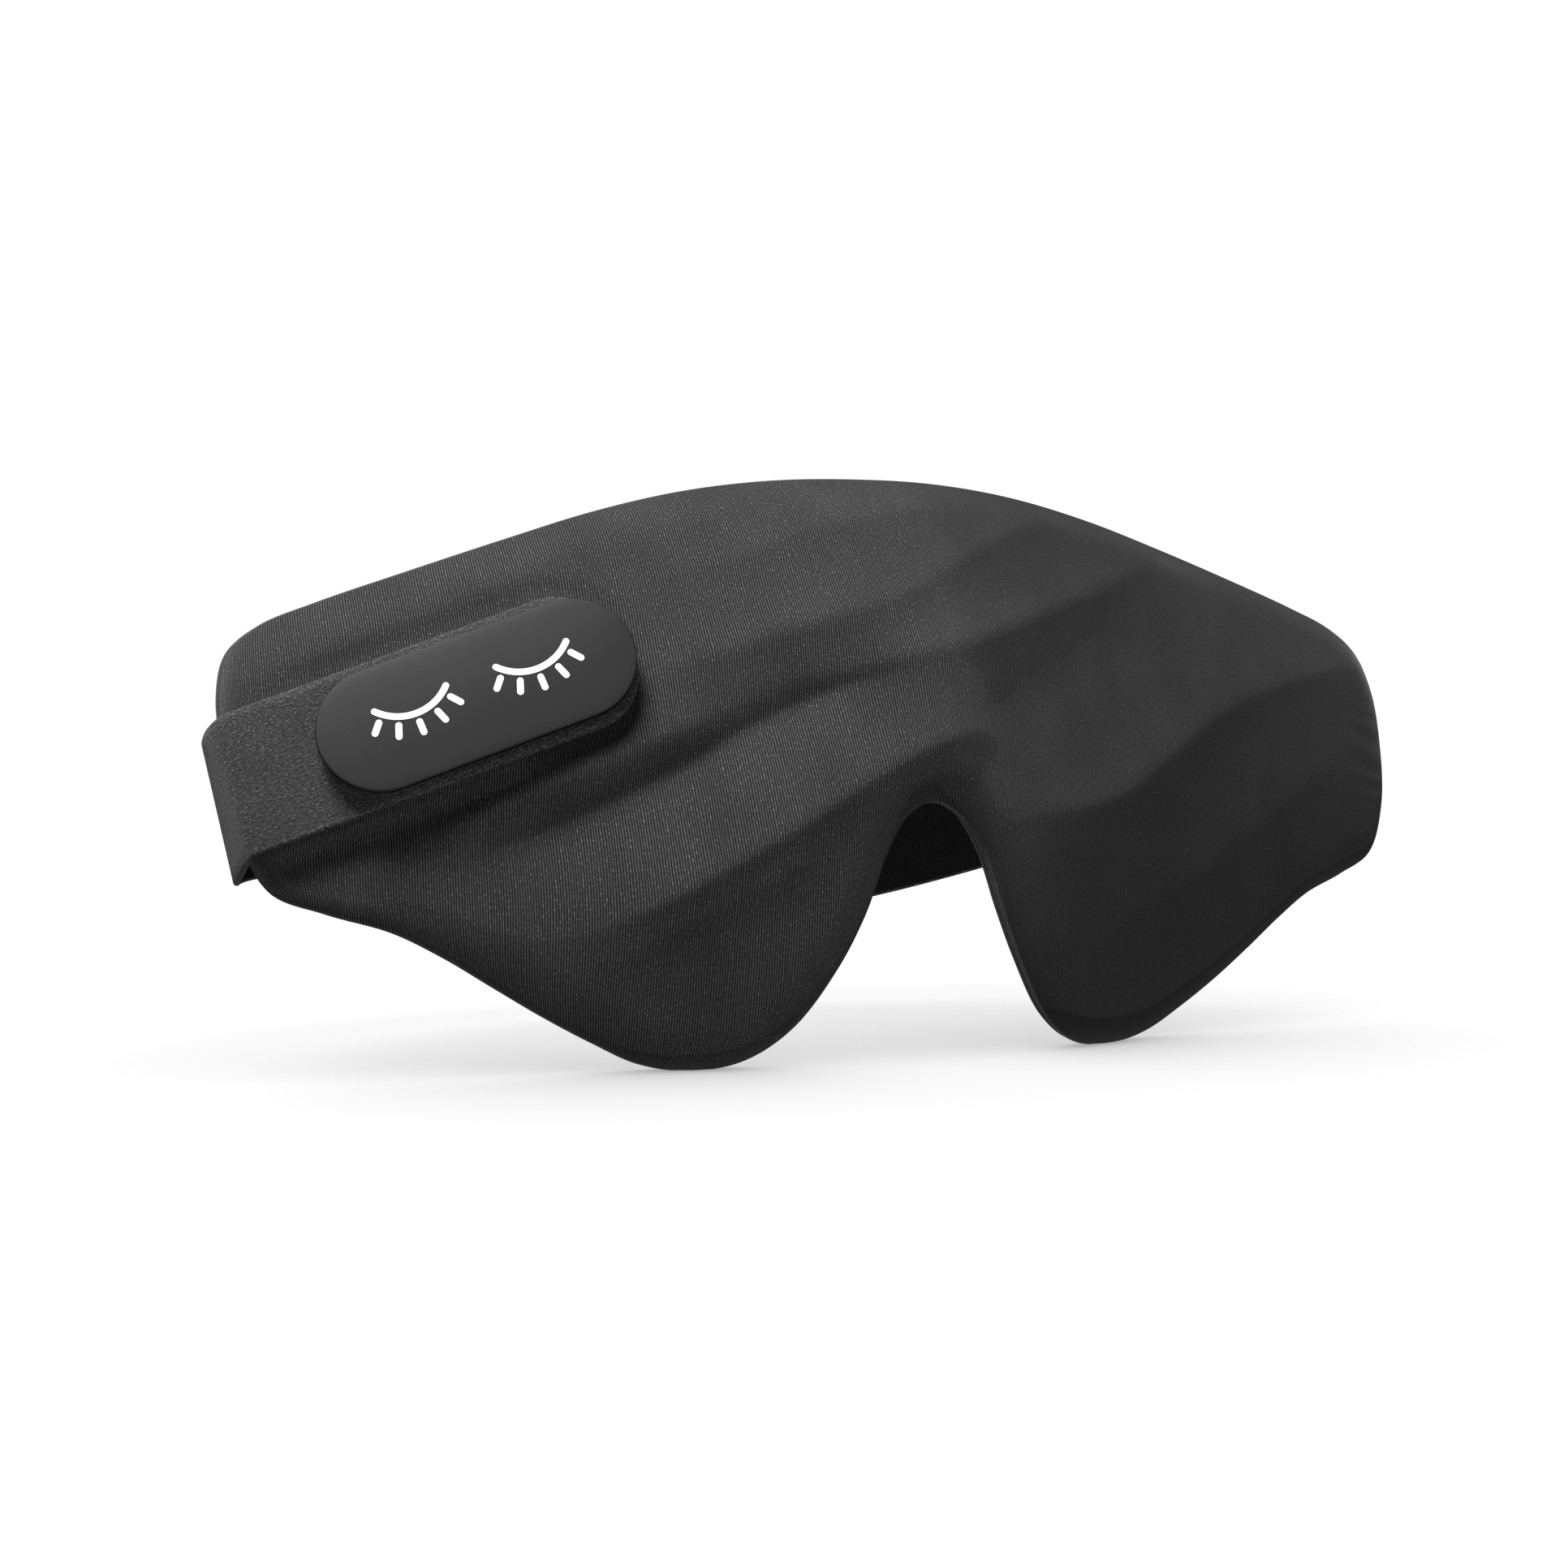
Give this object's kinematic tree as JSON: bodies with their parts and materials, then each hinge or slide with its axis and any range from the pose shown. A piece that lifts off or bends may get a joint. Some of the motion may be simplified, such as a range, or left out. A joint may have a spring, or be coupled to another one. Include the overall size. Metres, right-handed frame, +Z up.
{
  "type": "sleep eye mask",
  "caption": "Contoured padded sleep eye mask with a nose notch, hollowed eye cups and an elastic head strap closed by a hook-and-loop tab with an oval badge",
  "frame": {"origin": "centre of the footprint of the bounding box, at the level the two cheek lobes stand on", "axes": "+X across the face from the tab end to the sewn end, +Y from the front of the mask towards the wearer's head, +Z up"},
  "size_m": [0.2288, 0.108, 0.1006],
  "materials": {
    "face_knit": "fine vertical ribbed knit, charcoal, soft sheen",
    "foam": "slow-rebound foam",
    "lining_knit": "smooth brushed jersey, near black",
    "thread": "polyester sewing thread",
    "elastic": "brushed loop-face elastic, speckled",
    "hook_tape": "fine moulded hooks",
    "badge_satin": "satin soft-touch plastic"
  },
  "bodies": {
    "mask": {"face_fabric": "face_knit", "core_foam": "foam", "lining_fabric": "lining_knit", "edge_seam": "thread", "strap_fold": "elastic", "strap_end": "elastic", "anchor_stitch_inner": "thread", "anchor_stitch_outer": "thread"},
    "tab": {"strap_tab": "elastic", "hook_patch": "hook_tape", "badge_plate": "badge_satin", "badge_backing": "hook_tape"},
    "strap": {"strap_band": "elastic"}
  },
  "joints": [
    {"name": "tab_peel", "type": "hinge", "parent": "mask", "child": "tab", "pos_m": [-0.11037, -0.02693, 0.04864], "axis": [0.1188, -0.2501, -0.9609], "range_deg": [0, 150]},
    {"name": "strap_tilt", "type": "hinge", "parent": "mask", "child": "strap", "pos_m": [0.00165, 0.01544, 0.0474], "axis": [0.9996, 0, 0.0268], "range_deg": [-20, 20]}
  ]
}
